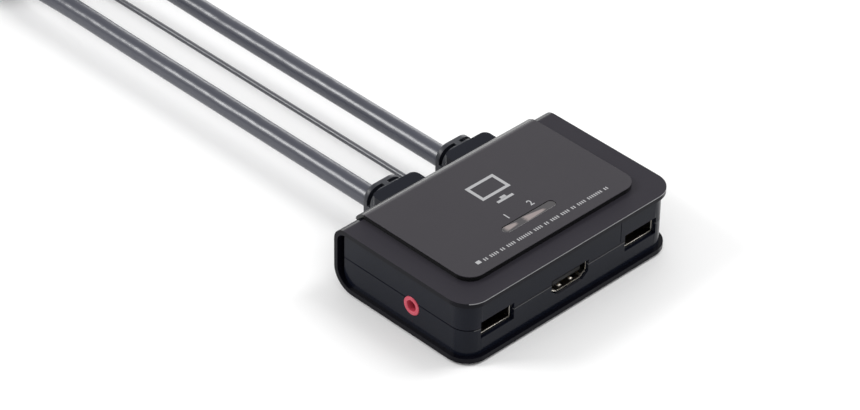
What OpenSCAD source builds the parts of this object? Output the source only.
// Two-port HDMI and USB cable KVM switch with a wired remote push button.
// X runs along the front face, the rear is +Y and the surface it stands on is z = 0.

/* [Case] */
// Width of the wrap-round cover along the front, mm
case_w = 88; // [80:0.5:100]
// Depth of the cover from front to rear, mm
case_d = 56; // [50:0.5:70]
// Height of the cover from its underside to its top face, mm
cover_h = 22; // [18:0.5:30]
// Thickness of the cover's top and bottom plates, mm
plate_t = 1.7; // [1.2:0.1:2.5]
// Thickness of the cover's rear wall, mm
spine_t = 1.4; // [1:0.1:2.5]
// How far the plates stand proud of the shells between them, mm
overhang = 1.35; // [0.5:0.05:3]
// Radius of the cover's front corners in plan, mm
corner_r = 7.6; // [4:0.2:12]
// Height of the rubber feet below the cover, mm
foot_h = 0.8; // [0.4:0.1:2]
// Height of the seam between the two shells above the table, mm
seam_z = 12; // [10:0.5:14]
// Wall thickness of the shells, mm
wall = 1.6; // [1.2:0.1:2.5]

/* [Top panel] */
// Width of the raised panel, mm
panel_w = 71.4; // [60:0.2:80]
// How far the panel stands above the cover's top face, mm
panel_rise = 1.65; // [0.8:0.05:3]
// Distance from the cover's front edge to the panel, mm
panel_back = 7.8; // [4:0.1:14]
// Radius of the panel's front corners, mm
panel_r = 5.5; // [2:0.1:10]
// Radius of the panel's rolled rear edge, mm
panel_roll = 5; // [3:0.1:6]
// Length of the indicator window, mm
window_l = 21.6; // [14:0.1:26]
// Width of the indicator window, mm
window_w = 3.2; // [2:0.1:5]

/* [Ports] */
// Distance of each USB socket from the centre line, mm
usb_x = 30.2; // [28:0.1:31]
// Height of the USB socket's centre above the table, mm
usb_z = 11; // [10:0.1:12]
// Outside width and height of a USB socket's metal shell, mm
usb_size = [13.1, 5.6];
// Outside width and height of the HDMI socket's metal shell, mm
hdmi_size = [15, 5.5];
// Height of the HDMI socket's underside above the table, mm
hdmi_z = 7.6; // [7:0.1:8.5]
// Bore of the 3.5 mm audio jack, mm
jack_bore = 3.6; // [3.5:0.05:3.8]
// Outside diameter of the audio jack's ring, mm
jack_d = 6.3; // [5.5:0.1:7]
// Distance of the audio jack from the cover's front edge, mm
jack_back = 24.3; // [18:0.1:34]

/* [Cables] */
// Distance of each computer cable from the centre line, mm
gland_x = 15.1; // [13:0.1:18]
// Height of the cables where they leave the case, mm
gland_z = 11.1; // [10:0.1:12]
// Width and height of a strain relief's collar, mm
gland_size = [14.5, 16.6];
// Diameter of a computer cable, mm
cable_d = 6.8; // [5:0.1:8]
// Diameter of a USB lead at the plug end, mm
lead_d = 4; // [3:0.1:5]
// Diameter of the remote's cable, mm
thin_d = 2; // [1.6:0.1:3]

/* [Remote] */
// Width, length and height of the remote's case, mm
remote_size = [28, 48, 10.4];
// Diameter of the remote's push button, mm
button_d = 11; // [8:0.5:14]
// How far the push button travels, mm
button_travel = 1; // [0.5:0.1:1.5]

/* [Hidden] */
$fn = 64;
eps = 0.01;
z0 = foot_h;                    // underside of the cover
z_top = z0 + cover_h;           // top face of the cover
z_floor = z0 + plate_t;         // the shells stand on the bottom plate
z_lid = z_top - plate_t;        // the shells end under the top plate
z_panel = z_top + panel_rise;
boss_out = 5.4;                 // how far the cable bosses stand behind the cover
front = -(case_d + boss_out) / 2;
rear = front + case_d;
jack_y = front + jack_back;
bend_low = 7.5;                 // outer radius of the bend under the rear wall
bend_high = 4.8;                // outer radius of the bend over the rear wall
body_w = case_w - 2 * overhang;
body_front = front + overhang;
body_rear = rear - spine_t - 1.6;
usb_y = body_front + 1.5;       // front of the USB sockets' metal shells
tongue_y = usb_y + 1.5;         // front of the USB sockets' tongues
hdmi_y = body_front + 0.8;      // front of the HDMI socket's metal shell
body_low_r = 4.5;               // radii along the shells' lower and upper rear edges
body_high_r = 2.5;
insert_x = 21.4;                // a fine upright joint in the front of the upper shell
board_z = [5.9, 7.5];           // underside and top of the circuit board
boss_w = 18.2;
boss_rear = rear + boss_out;
boss_z = [3.4, z_lid - 0.2];
// Where a strain relief's lock plate, neck, flange, slot and collar begin, and the collar ends.
gland_y = [for (q = [-3.6, -1.7, 0, 2.1, 3.4, 5]) boss_rear + q];
window_at = [-0.7, front + 18.25];
guide_x = [-5.7, 4.3];          // a light guide stands under each digit
thin_at = [-0.5, 10.3];         // X and Z of the hole that the remote's cable leaves by
screws = [[-15.6, -22.7], [15.6, -22.7], [-30, 14.3], [30, 14.3]];
feet = [[-34, -20.7], [34, -20.7], [-37, 8.3], [37, 8.3]];

// The far length of each computer cable is a hank three turns high, with its runs along Y.
hank_run = [102, 111];          // length of the straight runs, left hank and right hank
hank_r = 3 * cable_d;           // radius of the end loops, to the cable's centre
hank_x = 25.8;                  // distance of each hank's middle from the centre line
hank_y = [246, 240];            // where the runs begin
hank_h = 3 * cable_d;
grip_at = [[-5.4, 312], [8.4, 257]];   // rear of each HDMI plug's grip, which lies on the hank
grip_z = hank_h + 5.5;
grip_l = 38;
usb_grip_at = [[-44, 328], [44, 273]];
usb_grip_z = hank_h + 4.2;
thin_hank = [22, 238, 40];      // middle X, start of the runs and their length
thin_hank_h = 4 * thin_d;       // twelve turns, three beside each other and four high
remote_at = [25.8, 324];

// Routes in mm, left cable first, from the strain relief to the hank.
run_route = [
  [[-15.1, 35.7, 10.3], [-15.1, 52, 10.3], [-15.1, 82, 10.3], [-15.1, 115, 10.3],
   [-15.1, 150, 10.3], [-15.1, 189, 10.3], [-15.1, 197, 10], [-14.5, 205, 8.8],
   [-13.2, 213, 6.8], [-11.4, 221, 4.6], [-9.2, 229, 3.5], [-7, 237, 3.4], [-5.4, 246, 3.4]],
  [[15.1, 35.7, 10.3], [15.1, 52, 10.3], [15.1, 80, 10.3], [15.1, 110, 10.3],
   [15.1, 140, 10.3], [15.1, 184, 10.3], [15, 194, 9.9], [14.4, 202, 8.6], [13, 210, 6.6],
   [11, 218, 4.4], [8.6, 226, 3.5], [6.6, 233, 3.4], [5.4, 240, 3.4]]];
// From the top of the hank to the HDMI plug.
tail_route = [
  [[-5.4, 246, 23.8], [-5.4, 262, 23.8], [-5.4, 278, 23.8], [-5.4, 290, 24], [-5.4, 301, 24.9],
   [-5.4, 312, 25.9]],
  [[5.4, 240, 23.8], [5.7, 246, 24], [6.9, 251.6, 24.9], [8.4, 257, 25.9]]];
// From the HDMI plug's grip to the USB plug's grip.
lead_route = [
  [[-11.6, 312, 25.9], [-11.6, 305, 25.4], [-12.8, 299, 24], [-16.4, 293, 22],
   [-22, 289.4, 20.4], [-27.8, 288.6, 20], [-33.6, 289.8, 20.6], [-39, 293.6, 22],
   [-42.6, 299.4, 23.4], [-43.9, 306, 24.3], [-44, 316, 24.6], [-44, 328, 24.6]],
  [[14.6, 257, 25.9], [14.6, 251, 25.5], [15.6, 246, 24.4], [18.3, 240.4, 22.6],
   [23, 236.2, 21], [29, 234.8, 20.4], [35, 236.2, 21], [40, 240.4, 22.4], [43, 246.2, 23.7],
   [44, 253, 24.4], [44, 263, 24.6], [44, 273, 24.6]]];
thin_route = [[-0.5, 26.9, 10.3], [-0.5, 57, 10.3], [-0.5, 97, 10.3], [-0.5, 137, 10.3],
  [-0.5, 177, 10.2], [0, 186, 9.6], [1.2, 192, 7.4], [3.4, 197, 4.4], [6.2, 201.6, 2], [9.4, 206, 1.1],
  [12.4, 211, 1], [14.4, 217, 1], [14.6, 224, 1], [13, 231, 1], [12, 238, 1]];
thin_tail = [[12, 238, 9], [12, 250, 9], [12, 262, 9], [12.6, 272, 9], [14.8, 280, 9],
  [18.2, 286.6, 8.9], [22, 291.6, 7.6], [24.9, 296, 6.2], [25.8, 302, 5.8]];

// ---- shared shapes ----

// Places its children once on each side of the centre line.
module both_sides(x) for (s = [-1, 1]) translate([s * x, 0, 0]) children();

// A rectangle centred on the origin with round corners.
module round_rect(size, r) {
  square([size.x - 2 * r, size.y], center = true);
  square([size.x, size.y - 2 * r], center = true);
  for (sx = [-1, 1], sy = [-1, 1])
    translate([sx * (size.x / 2 - r), sy * (size.y / 2 - r)]) circle(r);
}

// A slot with round ends along X.
module stadium(l, w) {
  square([l - w, w], center = true);
  for (s = [-1, 1]) translate([s * (l - w) / 2, 0]) circle(w / 2);
}

// A plan outline from y = a to y = b, with radius rf at the front corners and rr at the rear.
module plan(w, a, b, rf, rr) {
  translate([-w / 2, a + rf]) square([w, b - a - rf - rr]);
  translate([-w / 2 + rf, a]) square([w - 2 * rf, rf + eps]);
  translate([-w / 2 + rr, b - rr - eps]) square([w - 2 * rr, rr + eps]);
  for (s = [-1, 1]) {
    translate([s * (w / 2 - rf), a + rf]) circle(rf);
    translate([s * (w / 2 - rr), b - rr]) circle(rr);
  }
}

// Carries a side profile drawn in Y and Z across the whole width w.
module across(w) rotate([90, 0, 90]) linear_extrude(w, center = true) children();

// Carries an outline drawn in X and Z from y = a to y = b.
module along(a, b) translate([0, b, 0]) rotate([90, 0, 0]) linear_extrude(b - a) children();

// A side profile from the front to y = b and from z = low to high, rear bends of radius rl and rh.
module side(a, b, low, high, rl, rh) {
  r = max(rl, rh);
  translate([a, low]) square([b - r - a, high - low]);
  translate([b - r - eps, low + rl]) square([r + eps, high - low - rl - rh]);
  translate([b - r - eps, low]) square([r - rl + 2 * eps, high - low - rh]);
  translate([b - r - eps, high - rh - eps]) square([r - rh + 2 * eps, rh + eps]);
  translate([b - rl, low + rl]) circle(rl);
  translate([b - rh, high - rh]) circle(rh);
}

module cover_solid() intersection() {
  across(case_w + 2) side(front - 1, rear, z0, z_top, bend_low, bend_high);
  translate([0, 0, -1]) linear_extrude(40) plan(case_w, front, rear + 1, corner_r, 0.8);
}

// A tube of diameter d along the route p, with n sides. Every ring stands square to the route.
function unit(v) = v / norm(v);
function way(p, i) = unit(p[min(i + 1, len(p) - 1)] - p[max(i - 1, 0)]);
function ring(p, i, d, n) = let (t = way(p, i), s = unit(cross(t, [0, 0, 1])), u = cross(s, t))
  [for (k = [0:n - 1]) p[i] + d / 2 * (cos(360 * k / n) * s + sin(360 * k / n) * u)];
module tube(p, d, n) {
  m = len(p);
  polyhedron(
    [for (i = [0:m - 1]) each ring(p, i, d, n)],
    concat(
      [[for (k = [0:n - 1]) k]],
      [for (i = [0:m - 2], k = [0:n - 1])
        [i * n + k, (i + 1) * n + k, (i + 1) * n + (k + 1) % n, i * n + (k + 1) % n]],
      [[for (k = [n - 1:-1:0]) (m - 1) * n + k]]));
}

// ---- case ----

// Openings in the front and the left side that the sockets show through.
module port_openings() {
  both_sides(usb_x) along(body_front - 1, body_front + wall + 0.5)
    translate([0, usb_z]) square([usb_size.x + 0.4, usb_size.y + 0.3], center = true);
  along(body_front - 1, body_front + wall + 0.5) hdmi_outline(0.25);
  translate([-body_w / 2 - 1, jack_y, 10]) rotate([0, 90, 0]) cylinder(d = jack_d + 0.1, h = 4);
}

// A cable boss: a hollow block on the rear wall with round vertical corners.
module boss() translate([0, 0, boss_z[0]])
  linear_extrude(boss_z[1] - boss_z[0]) plan(boss_w, body_rear - 1, boss_rear, 0.5, 2.2);
module boss_hollow() {
  along(body_rear - wall - 1, gland_y[1])
    translate([0, gland_z]) square([boss_w - 3.2, gland_size.y - 2], center = true);
  along(gland_y[1] - 1, boss_rear + 1) translate([0, gland_z]) round_rect([10, 12], 3);
}

// The outside of both shells together, before they part at the seam.
module shell_block() {
  intersection() {
    across(body_w + 2) side(body_front - 1, body_rear, z_floor, z_lid, body_low_r, body_high_r);
    linear_extrude(40) plan(body_w, body_front, body_rear + 1, corner_r - overhang, 0.8);
  }
  both_sides(gland_x) boss();
}

module shell_hollow() {
  translate([0, 0, z_floor + wall]) linear_extrude(z_lid - z_floor - 2 * wall)
    plan(body_w - 2 * wall, body_front + wall, body_rear - wall, corner_r - overhang - wall, 1.2);
  both_sides(gland_x) boss_hollow();
  translate([thin_at.x, body_rear - wall - 1, thin_at.y]) rotate([-90, 0, 0])
    cylinder(d = 3.7, h = 6);
  port_openings();
}

module outer_cover() color([0.05, 0.05, 0.055]) difference() {
  cover_solid();
  across(case_w + 4) side(front - 2, rear - spine_t, z_floor, z_lid, 6, 3.3);
  both_sides(gland_x) along(rear - 8, rear + 1)
    translate([0, (boss_z[0] + z_lid) / 2 - 0.1])
      square([boss_w + 0.4, z_lid - boss_z[0] + 0.2], center = true);
  translate([thin_at.x, rear - 4, thin_at.y]) rotate([-90, 0, 0]) cylinder(d = 3.7, h = 6);
  translate([window_at.x, window_at.y, z_lid - 1]) linear_extrude(4) stadium(window_l - 3, window_w - 1);
  for (s = screws) translate([s.x, s.y, z0 - 1]) {
    cylinder(d = 2.4, h = 5);
    cylinder(d = 4.5, h = 2.1);
  }
}

module top_panel() color([0.16, 0.16, 0.17]) difference() {
  intersection() {
    // the rear edge rolls over the cover's bend and ends just above the cable bosses
    across(panel_w + 2) intersection() {
      translate([front, boss_z[1] + 0.05]) square([case_d, z_panel]);
      union() {
        translate([front, 0]) square([case_d - panel_roll, z_panel]);
        translate([rear - panel_roll, z_panel - panel_roll]) circle(panel_roll);
      }
    }
    linear_extrude(40) plan(panel_w, front + panel_back, rear, panel_r, 0.8);
  }
  cover_solid();
  translate([window_at.x, window_at.y, z_top - 1]) linear_extrude(4) stadium(window_l, window_w);
}

module window_lens() color([0.7, 0.72, 0.75, 0.4]) translate([window_at.x, window_at.y, z_top])
  linear_extrude(panel_rise - 0.15) stadium(window_l - 0.1, window_w - 0.1);

module light_guides() color([0.85, 0.87, 0.9, 0.7]) for (x = guide_x)
  translate([x, window_at.y, board_z[1] + 1]) linear_extrude(z_top - board_z[1] - 1)
    stadium(6, window_w - 1.6);

module upper_shell() color([0.04, 0.04, 0.045]) difference() {
  union() {
    difference() {
      shell_block();
      shell_hollow();
      translate([0, 0, -1]) linear_extrude(seam_z + 1) square(200, center = true);
    }
    for (s = screws) translate([s.x, s.y, board_z[1]]) cylinder(d = 5, h = z_lid - wall - board_z[1]);
  }
  for (s = screws) translate([s.x, s.y, board_z[1] - 1]) cylinder(d = 2.04, h = 9.1);
  translate([window_at.x, window_at.y, z_lid - wall - 1]) linear_extrude(4)
    stadium(window_l - 3, window_w - 1);
  // the joint of the insert that carries the right-hand USB opening
  translate([insert_x, body_front - 1, seam_z + 0.5]) cube([0.25, 1.25, 7]);
}

module lower_shell() color([0.04, 0.04, 0.045]) difference() {
  union() {
    difference() {
      shell_block();
      shell_hollow();
      translate([0, 0, seam_z]) linear_extrude(20) square(200, center = true);
    }
    for (s = screws) translate([s.x, s.y, z_floor + wall - eps])
      cylinder(d = 5, h = board_z[0] - z_floor - wall + eps);
  }
  // a fine rebate along the seam shows as a dark line
  translate([0, 0, seam_z - 0.35]) linear_extrude(1) difference() {
    square([200, 200], center = true);
    plan(body_w - 0.9, body_front + 0.45, body_rear - 0.45, corner_r - overhang - 0.45, 0.6);
    both_sides(gland_x) translate([0, rear + 2]) square([boss_w, 16], center = true);
  }
  for (s = screws) translate([s.x, s.y, 0]) cylinder(d = 2.4, h = 10);
}

module housing_screws() color([0.6, 0.6, 0.62]) for (s = screws) translate([s.x, s.y, 0])
  difference() {
    union() {
      translate([0, 0, z0 + 0.1]) cylinder(d = 4, h = 1);
      translate([0, 0, z0 + 1]) cylinder(d = 2, h = 13.5);
    }
    for (a = [0, 90]) translate([0, 0, z0]) rotate([0, 0, a]) cube([2.4, 0.5, 1.2], center = true);
  }

module rubber_feet() color([0.03, 0.03, 0.03]) for (f = feet) translate([f.x, f.y, 0])
  rotate_extrude() {
    square([3.6, foot_h]);
    translate([0, 0.3]) square([4, foot_h - 0.3]);
  }

// ---- electronics ----

module circuit_board() color([0.05, 0.25, 0.12]) difference() {
  translate([0, 0, board_z[0]]) linear_extrude(board_z[1] - board_z[0])
    plan(77.4, body_front + wall + 0.3, body_rear - wall - 0.5, 4, 1);
  for (s = screws) translate([s.x, s.y, 0]) cylinder(d = 2.4, h = 20);
}

module chip(x, y, w, l, h) translate([x, y, board_z[1] + h / 2]) cube([w, l, h], center = true);

module switch_chips() color([0.05, 0.05, 0.06]) {
  chip(0, 0, 14, 14, 1.4);
  for (s = [-1, 1]) {
    chip(21 * s, 0, 9, 9, 1.2);
    chip(14 * s, -10.7, 5, 4, 1.5);
  }
  chip(33, -1, 11.4, 4.8, 3.5);
}

module capacitors() color([0.75, 0.75, 0.78]) {
  for (x = [-24, 24, 33]) translate([x, -10.2, board_z[1]]) {
    translate([0, 0, 0.6]) cylinder(d = 5, h = 5.4);
    translate([0, 0, 0.3]) cube([5.3, 5.3, 0.6], center = true);
  }
  for (i = [0:5]) chip(-10 + 4 * i, 9, 1.6, 0.8, 0.8);
  for (i = [0:3]) chip(-10.6, -5.7 + 3 * i, 0.8, 1.6, 0.8);
}

module port_leds() color([0.9, 0.9, 0.85]) for (x = guide_x) chip(x, window_at.y, 3.2, 1.6, 1);

module board_headers() color([0.9, 0.88, 0.8]) {
  both_sides(gland_x) chip(0, 13.3, 12, 4, 4.6);
  chip(0, 15.3, 5, 3.4, 4.6);
}

module inner_wires() color([0.6, 0.1, 0.1]) {
  for (s = [-1, 1], i = [-1.5:1.5])
    translate([s * gland_x + 2.4 * i, 15.3, 10.2]) rotate([-90, 0, 0])
      cylinder(d = 1.3, h = gland_y[0] - 15.3);
  for (i = [-1, 1]) translate([thin_at.x + 0.6 * i, 17, thin_at.y]) rotate([-90, 0, 0])
    cylinder(d = 0.8, h = rear - 5.2 - 17);
}

// ---- sockets ----

// A USB socket's shell, open to the front, with two contact springs hanging from its roof.
module usb_shell() color([0.75, 0.75, 0.77]) {
  difference() {
    along(usb_y, body_front + 14) translate([0, usb_z]) square(usb_size, center = true);
    along(body_front, body_front + 13.7)
      translate([0, usb_z]) square([usb_size.x - 0.6, usb_size.y - 0.6], center = true);
  }
  for (s = [-1, 1]) {
    translate([s * 2.9 - 0.7, usb_y + 0.8, usb_z + usb_size.y / 2 - 0.9]) cube([1.4, 4.5, 0.7]);
    translate([s * 6.3 - 0.25, body_front + 8, board_z[1]]) cube([0.5, 3, 1]);
  }
}
module usb_shell_left() translate([-usb_x, 0, 0]) usb_shell();
module usb_shell_right() translate([usb_x, 0, 0]) usb_shell();

// A tongue hangs near the roof of each socket, with four contacts along its underside.
module usb_tongues() color([0.05, 0.05, 0.05]) both_sides(usb_x) {
  along(tongue_y, body_front + 11) translate([0, usb_z + 0.85]) square([11.1, 1.8], center = true);
  along(body_front + 10.5, body_front + 13.7) translate([0, usb_z]) square([12.5, 5], center = true);
}

module usb_contacts() color([0.85, 0.65, 0.3]) both_sides(usb_x) for (i = [-1.5:1.5])
  translate([2.3 * i - 0.6, tongue_y + 0.4, usb_z - 0.3]) cube([1.2, 6.9, 0.25]);

// The HDMI outline grown by g: wide at the top, with slanting lower corners.
module hdmi_outline(g) {
  w = hdmi_size.x / 2 + g;
  low = w - 2.5;
  translate([0, hdmi_z]) polygon([[-w, hdmi_size.y + g], [-w, 1.8 - g / 2], [-low, -g],
    [low, -g], [w, 1.8 - g / 2], [w, hdmi_size.y + g]]);
}

// The socket's shell, with two springs along its floor that each end in a round dimple.
module hdmi_shell() color([0.75, 0.75, 0.77]) {
  difference() {
    along(hdmi_y, body_front + 12) hdmi_outline(0);
    along(body_front, body_front + 11.7) hdmi_outline(-0.3);
  }
  for (s = [-1, 1]) translate([s * 2.4, hdmi_y + 1.8, hdmi_z]) {
    translate([-0.8, -0.7, 0.25]) cube([1.6, 5, 0.25]);
    intersection() {
      translate([0, 0, -0.25]) sphere(1.1);
      translate([-1, -1, 0.1]) cube([2, 2, 1]);
    }
  }
}

module hdmi_tongue() color([0.05, 0.05, 0.05]) {
  along(body_front + 1.6, body_front + 10.5) translate([0, hdmi_z + 3]) square([11.6, 1.3], center = true);
  along(body_front + 9.5, body_front + 11.7) hdmi_outline(-0.32);
}

module hdmi_contacts() color([0.85, 0.65, 0.3]) {
  for (i = [-4.5:4.5]) translate([i - 0.25, body_front + 2, hdmi_z + 3.65]) cube([0.5, 7.5, 0.15]);
  for (i = [-4:4]) translate([i - 0.25, body_front + 2, hdmi_z + 2.2]) cube([0.5, 7.5, 0.15]);
}

module jack_axis(x) translate([x, jack_y, 10]) rotate([0, 90, 0]) children();

module audio_jack_body() color([0.06, 0.06, 0.06]) difference() {
  translate([-38.9, jack_y - 3.1, board_z[1]]) cube([11.5, 6.2, 5.4]);
  jack_axis(-40) cylinder(d = jack_bore, h = 11.5);
}

module audio_jack_ring() color([0.8, 0.25, 0.35]) jack_axis(-body_w / 2 - 0.3) difference() {
  cylinder(d = jack_d, h = body_w / 2 + 0.3 - 38.9);
  translate([0, 0, -1]) cylinder(d = jack_bore, h = 8);
}

// ---- strain reliefs ----

// Rubber strain relief: lock plate, neck, flange and collar, joined at the slot by four bridges.
module gland() color([0.25, 0.27, 0.33]) {
  translate([0, 0, gland_z]) {
    along(gland_y[0], gland_y[1]) square([13, 14], center = true);
    along(gland_y[1] - eps, boss_rear + eps) round_rect([9.9, 11.9], 2.95);
    along(boss_rear, gland_y[3]) round_rect(gland_size, 4.6);
    along(gland_y[4], gland_y[5]) round_rect(gland_size, 4.6);
    along(gland_y[3] - eps, gland_y[4] + eps) {
      round_rect(gland_size - [5, 5], 2.4);
      square([2, gland_size.y], center = true);
      square([gland_size.x, 5.4], center = true);
    }
  }
}
module gland_left() translate([-gland_x, 0, 0]) gland();
module gland_right() translate([gland_x, 0, 0]) gland();

module remote_grommet() color([0.08, 0.08, 0.09]) translate([thin_at.x, 0, thin_at.y])
  rotate([-90, 0, 0]) {
    translate([0, 0, rear - 5.2]) cylinder(d = 5, h = 0.6);
    translate([0, 0, rear - 5.2]) cylinder(d = 3.6, h = 5.3);
    translate([0, 0, rear]) cylinder(d = 5, h = 1.6);
  }

// ---- computer cables ----

// The ring that turns of radius r and thickness t fill, with straight runs of the given length.
module turns(run, r, t) translate([0, run / 2]) rotate(90) difference() {
  stadium(run + 2 * r + t, 2 * r + t);
  stadium(run + 2 * r - t, 2 * r - t);
}

// The turns climb round the near end. Its inner half lies over the cable that comes in.
module hank(k) color([0.25, 0.27, 0.33]) mirror([1 - k, 0, 0]) translate([hank_x, hank_y[k], 0]) {
  for (q = [[-50, 0, 200, 0, hank_h], [0, -60, 60, 0, hank_h + cable_d],
            [-50, -60, 60, cable_d + 0.2, hank_h + cable_d]])
    translate([0, 0, q[3]]) linear_extrude(q[4] - q[3]) intersection() {
      turns(hank_run[k], hank_r, cable_d);
      translate([q.x, q.y]) square([q.y < 0 ? 50 : 100, q.z]);
    }
}
module hank_left() hank(0);
module hank_right() hank(1);

// A hook-and-loop strap round the outer run.
module strap(w, h, l) difference() {
  along(-l / 2, l / 2) translate([0, h / 2]) round_rect([w + 2.2, h + 2.2], 1.2);
  along(-l, l) translate([0, h / 2]) square([w, h], center = true);
  translate([-w, -l, -5]) cube([2 * w, 2 * l, 5]);
}
module tie(k) color([0.03, 0.03, 0.03]) mirror([1 - k, 0, 0])
  translate([hank_x + hank_r, hank_y[k] + 16, 0]) strap(cable_d, hank_h, 12);
module tie_left() tie(0);
module tie_right() tie(1);

module cable(k) color([0.25, 0.27, 0.33]) {
  tube(run_route[k], cable_d, 12);
  tube(tail_route[k], cable_d, 12);
}
module cable_left() cable(0);
module cable_right() cable(1);

// Each computer cable ends in an HDMI plug, and a USB lead leaves the same grip.
module at(p, z) translate([p.x, p.y, z]) children();

module hdmi_grip() color([0.05, 0.05, 0.055]) {
  along(0, grip_l - 10) round_rect([19.6, 10.6], 2.5);
  along(grip_l - 10 - eps, grip_l) round_rect([18.4, 9.6], 2.2);
}
module hdmi_grip_left() at(grip_at[0], grip_z) hdmi_grip();
module hdmi_grip_right() at(grip_at[1], grip_z) hdmi_grip();

// The plug's mouth, less a skin of thickness t.
module plug_mouth(t) polygon([[t - 6.9, 2.1 - t], [t - 6.9, t - 0.9], [-4.9, t - 2.1],
  [4.9, t - 2.1], [6.9 - t, t - 0.9], [6.9 - t, 2.1 - t]]);
module hdmi_plug() color([0.8, 0.7, 0.45]) difference() {
  along(grip_l, grip_l + 11.5) plug_mouth(0);
  along(grip_l + 2, grip_l + 12) plug_mouth(0.4);
}
module hdmi_plug_left() at(grip_at[0], grip_z) hdmi_plug();
module hdmi_plug_right() at(grip_at[1], grip_z) hdmi_plug();

module usb_lead_left() color([0.08, 0.08, 0.09]) tube(lead_route[0], lead_d, 10);
module usb_lead_right() color([0.08, 0.08, 0.09]) tube(lead_route[1], lead_d, 10);

module usb_grip() color([0.05, 0.05, 0.055]) along(0, 30) round_rect([15.4, 8], 2);
module usb_grip_left() at(usb_grip_at[0], usb_grip_z) usb_grip();
module usb_grip_right() at(usb_grip_at[1], usb_grip_z) usb_grip();

module usb_plug() color([0.75, 0.75, 0.77]) difference() {
  along(30, 42) square([12, 4.5], center = true);
  along(32, 43) translate([0, 0.9]) square([11.4, 2], center = true);
}
module usb_plug_left() at(usb_grip_at[0], usb_grip_z) usb_plug();
module usb_plug_right() at(usb_grip_at[1], usb_grip_z) usb_plug();

// ---- remote ----

module remote_cable() color([0.1, 0.1, 0.11]) {
  tube(thin_route, thin_d, 8);
  tube(thin_tail, thin_d, 8);
}

module remote_hank() color([0.1, 0.1, 0.11]) at(thin_hank, 0)
  linear_extrude(thin_hank_h) turns(thin_hank.z, 4 * thin_d, 3 * thin_d);

module remote_tie() color([0.03, 0.03, 0.03]) translate([thin_hank.x + 4 * thin_d, thin_hank.y + 18, 0])
  strap(3 * thin_d, thin_hank_h, 5);

module at_remote() at(remote_at, 0) children();
module remote_plan(inset, z, h) translate([0, 0, z]) linear_extrude(h)
  round_rect([remote_size.x - 2 * inset, remote_size.y - 2 * inset], 5 - inset);

module remote_base() color([0.05, 0.05, 0.055]) at_remote() difference() {
  union() {
    difference() {
      remote_plan(0, 0.6, 4.4);
      remote_plan(1.4, 1.8, 6);
    }
    for (s = [-1, 1]) translate([0, s * 16, 1.5]) cylinder(d = 5, h = 1.5);
  }
  for (s = [-1, 1]) translate([0, s * 16, 0]) cylinder(d = 1.9, h = 6);
  for (s = [-1, 1]) translate([0, s * 16, 0]) cylinder(d = 3.5, h = 1.5);
  translate([0, -20, 5.8]) rotate([90, 0, 0]) cylinder(d = 2.1, h = 8);
}

module remote_cover() color([0.07, 0.07, 0.075]) at_remote() difference() {
  union() {
    difference() {
      remote_plan(0, 5, remote_size.z + 0.6 - 5);
      remote_plan(1.4, 4, 5.6);
    }
    for (s = [-1, 1]) translate([0, s * 16, 4]) cylinder(d = 5, h = 6);
  }
  translate([0, 0, 8]) cylinder(d = button_d + 0.1, h = 6);
  for (s = [-1, 1]) translate([0, s * 16, 3]) cylinder(d = 1.64, h = 5.1);
  translate([0, -20, 5.8]) rotate([90, 0, 0]) cylinder(d = 2.1, h = 8);
}

module remote_board() color([0.05, 0.25, 0.12]) at_remote() difference() {
  remote_plan(1.6, 3, 1);
  for (s = [-1, 1]) translate([0, s * 16, 2]) cylinder(d = 1.9, h = 4);
}

// A silicone dome that the button presses flat.
module remote_dome() color([0.8, 0.8, 0.78]) at_remote() translate([0, 0, 4])
  rotate_extrude() polygon([[0, 1.8], [1.6, 1.8], [3.2, 0.4], [4.6, 0.4], [4.6, 0], [5.4, 0],
    [5.4, 0.8], [3.6, 0.8], [2.2, 2.4], [0, 2.4]]);

module remote_button() color([0.35, 0.36, 0.38]) at_remote() rotate_extrude() {
  translate([0, 6.4]) square([2, 1.3]);
  translate([0, 7.6]) square([6.3, 1.9]);
  translate([0, 9.4]) square([button_d / 2, 2.1]);
  translate([0, 9.4]) square([button_d / 2 - 0.5, 2.6]);
}

module remote_screws() color([0.6, 0.6, 0.62]) at_remote() for (s = [-1, 1])
  translate([0, s * 16, 0.7]) {
    cylinder(d = 3.2, h = 0.8);
    cylinder(d = 1.6, h = 7);
  }

module remote_pad() color([0.03, 0.03, 0.03]) at_remote()
  linear_extrude(0.6) round_rect([16, 24], 3);

outer_cover();
top_panel();
window_lens();
light_guides();
upper_shell();
lower_shell();
circuit_board();
switch_chips();
capacitors();
port_leds();
board_headers();
usb_shell_left();
usb_shell_right();
usb_tongues();
usb_contacts();
hdmi_shell();
hdmi_tongue();
hdmi_contacts();
audio_jack_body();
audio_jack_ring();
housing_screws();
rubber_feet();
gland_left();
gland_right();
remote_grommet();
inner_wires();
cable_left();
cable_right();
hank_left();
hank_right();
tie_left();
tie_right();
hdmi_grip_left();
hdmi_grip_right();
hdmi_plug_left();
hdmi_plug_right();
usb_lead_left();
usb_lead_right();
usb_grip_left();
usb_grip_right();
usb_plug_left();
usb_plug_right();
remote_cable();
remote_hank();
remote_tie();
remote_base();
remote_cover();
remote_board();
remote_dome();
remote_button();
remote_screws();
remote_pad();
